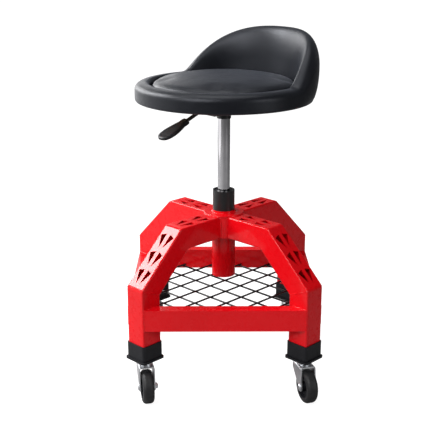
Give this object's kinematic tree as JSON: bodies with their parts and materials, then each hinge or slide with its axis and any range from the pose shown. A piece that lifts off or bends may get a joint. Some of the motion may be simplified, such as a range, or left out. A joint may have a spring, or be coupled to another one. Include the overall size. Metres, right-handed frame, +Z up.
{
  "type": "workshop stool",
  "caption": "Rolling workshop stool: red square-tube base on swivel casters with a wire tool shelf, gas lift with a lever, round padded seat and low wrap-round back.",
  "frame": {"origin": "on the floor under the swivel axis of the seat, in the middle of the four casters", "axes": "+Z up; -Y is the side of the front rail, +X to its right"},
  "size_m": [0.4318, 0.4686, 0.787],
  "materials": {
    "red_paint": "gloss powder coat",
    "black_paint": "semi-gloss",
    "black_plastic": "moulded",
    "zinc": "bright zinc plate",
    "tyre_rubber": "moulded",
    "rubber_stop": "moulded",
    "chrome": "polished",
    "alloy": "turned",
    "dark_steel": "black oxide",
    "plywood": "plain plywood",
    "black_leather": "soft sheen"
  },
  "bodies": {
    "base": {"hub_tube": "red_paint", "hub_drum": "red_paint", "hub_plate": "red_paint", "leg_front_left": "red_paint", "leg_front_right": "red_paint", "leg_rear_right": "red_paint", "leg_rear_left": "red_paint", "rail_front": "red_paint", "rail_right": "red_paint", "rail_rear": "red_paint", "rail_left": "red_paint", "shelf_mesh": "black_paint", "foot_sleeve_front_left": "black_plastic", "foot_sleeve_front_right": "black_plastic", "foot_sleeve_rear_right": "black_plastic", "foot_sleeve_rear_left": "black_plastic", "stem_plugs": "black_plastic", "caster_stems": "zinc", "lift_column": "black_paint", "guide_bush": "black_plastic", "bearing_lower_race": "zinc", "bearing_balls": "zinc"},
    "lift_rod": {"bearing_upper_race": "zinc", "bump_stop": "rubber_stop", "retaining_clip": "zinc", "piston_rod": "chrome", "piston": "alloy"},
    "seat": {"lift_cylinder": "chrome", "rod_guide": "black_plastic", "valve_block": "alloy", "taper_socket": "black_paint", "seat_plate": "black_paint", "lever_pivot_pin": "zinc", "lever_spacers": "black_plastic", "seat_board": "plywood", "plate_bolts": "zinc", "plate_washers": "zinc", "t_nuts": "zinc", "back_former": "plywood", "seat_cushion": "black_leather", "seat_surround": "black_leather"},
    "lever": {"lever_rod": "dark_steel", "lever_paddle": "black_plastic"},
    "release_pin": {"release_pin": "chrome"},
    "caster_front_left": {"fork_front_left": "zinc", "axle_front_left": "zinc"},
    "wheel_front_left": {"wheel_core_front_left": "black_plastic", "tyre_front_left": "tyre_rubber"},
    "caster_front_right": {"fork_front_right": "zinc", "axle_front_right": "zinc"},
    "wheel_front_right": {"wheel_core_front_right": "black_plastic", "tyre_front_right": "tyre_rubber"},
    "caster_rear_right": {"fork_rear_right": "zinc", "axle_rear_right": "zinc"},
    "wheel_rear_right": {"wheel_core_rear_right": "black_plastic", "tyre_rear_right": "tyre_rubber"},
    "caster_rear_left": {"fork_rear_left": "zinc", "axle_rear_left": "zinc"},
    "wheel_rear_left": {"wheel_core_rear_left": "black_plastic", "tyre_rear_left": "tyre_rubber"}
  },
  "joints": [
    {"name": "seat_swivel", "type": "hinge", "parent": "base", "child": "lift_rod", "pos_m": [0, 0, 0.24], "axis": [0, 0, 1], "continuous": true},
    {"name": "lift_travel", "type": "slide", "parent": "lift_rod", "child": "seat", "axis": [0, 0, 1], "range_m": [-0.12, 0]},
    {"name": "lever_tilt", "type": "hinge", "parent": "seat", "child": "lever", "pos_m": [-0.03396, -0.02952, 0.626], "axis": [-0.6561, 0.7547, 0], "range_deg": [0, 6], "stiffness_Nm_per_rad": 14, "springref_deg": -6.88},
    {"name": "valve_press", "type": "slide", "parent": "seat", "child": "release_pin", "axis": [0, 0, -1], "range_m": [0, 0.0056]},
    {"name": "swivel_front_left", "type": "hinge", "parent": "base", "child": "caster_front_left", "pos_m": [-0.17483, -0.17483, 0.09], "axis": [0, 0, 1], "continuous": true},
    {"name": "spin_front_left", "type": "hinge", "parent": "caster_front_left", "child": "wheel_front_left", "pos_m": [-0.17026, -0.19635, 0.0375], "axis": [0.9781, 0.2079, 0], "continuous": true},
    {"name": "swivel_front_right", "type": "hinge", "parent": "base", "child": "caster_front_right", "pos_m": [0.17483, -0.17483, 0.09], "axis": [0, 0, 1], "continuous": true},
    {"name": "spin_front_right", "type": "hinge", "parent": "caster_front_right", "child": "wheel_front_right", "pos_m": [0.18163, -0.19576, 0.0375], "axis": [0.9511, 0.309, 0], "continuous": true},
    {"name": "swivel_rear_right", "type": "hinge", "parent": "base", "child": "caster_rear_right", "pos_m": [0.17483, 0.17483, 0.09], "axis": [0, 0, 1], "continuous": true},
    {"name": "spin_rear_right", "type": "hinge", "parent": "caster_rear_right", "child": "wheel_rear_right", "pos_m": [0.17292, 0.19675, 0.0375], "axis": [-0.9962, -0.0872, 0], "continuous": true},
    {"name": "swivel_rear_left", "type": "hinge", "parent": "base", "child": "caster_rear_left", "pos_m": [-0.17483, 0.17483, 0.09], "axis": [0, 0, 1], "continuous": true},
    {"name": "spin_rear_left", "type": "hinge", "parent": "caster_rear_left", "child": "wheel_rear_left", "pos_m": [-0.18163, 0.19576, 0.0375], "axis": [-0.9511, -0.309, 0], "continuous": true}
  ],
  "couplings": [
    {"joint": "valve_press", "follows": "lever_tilt", "m_per_rad": 0.0495}
  ]
}
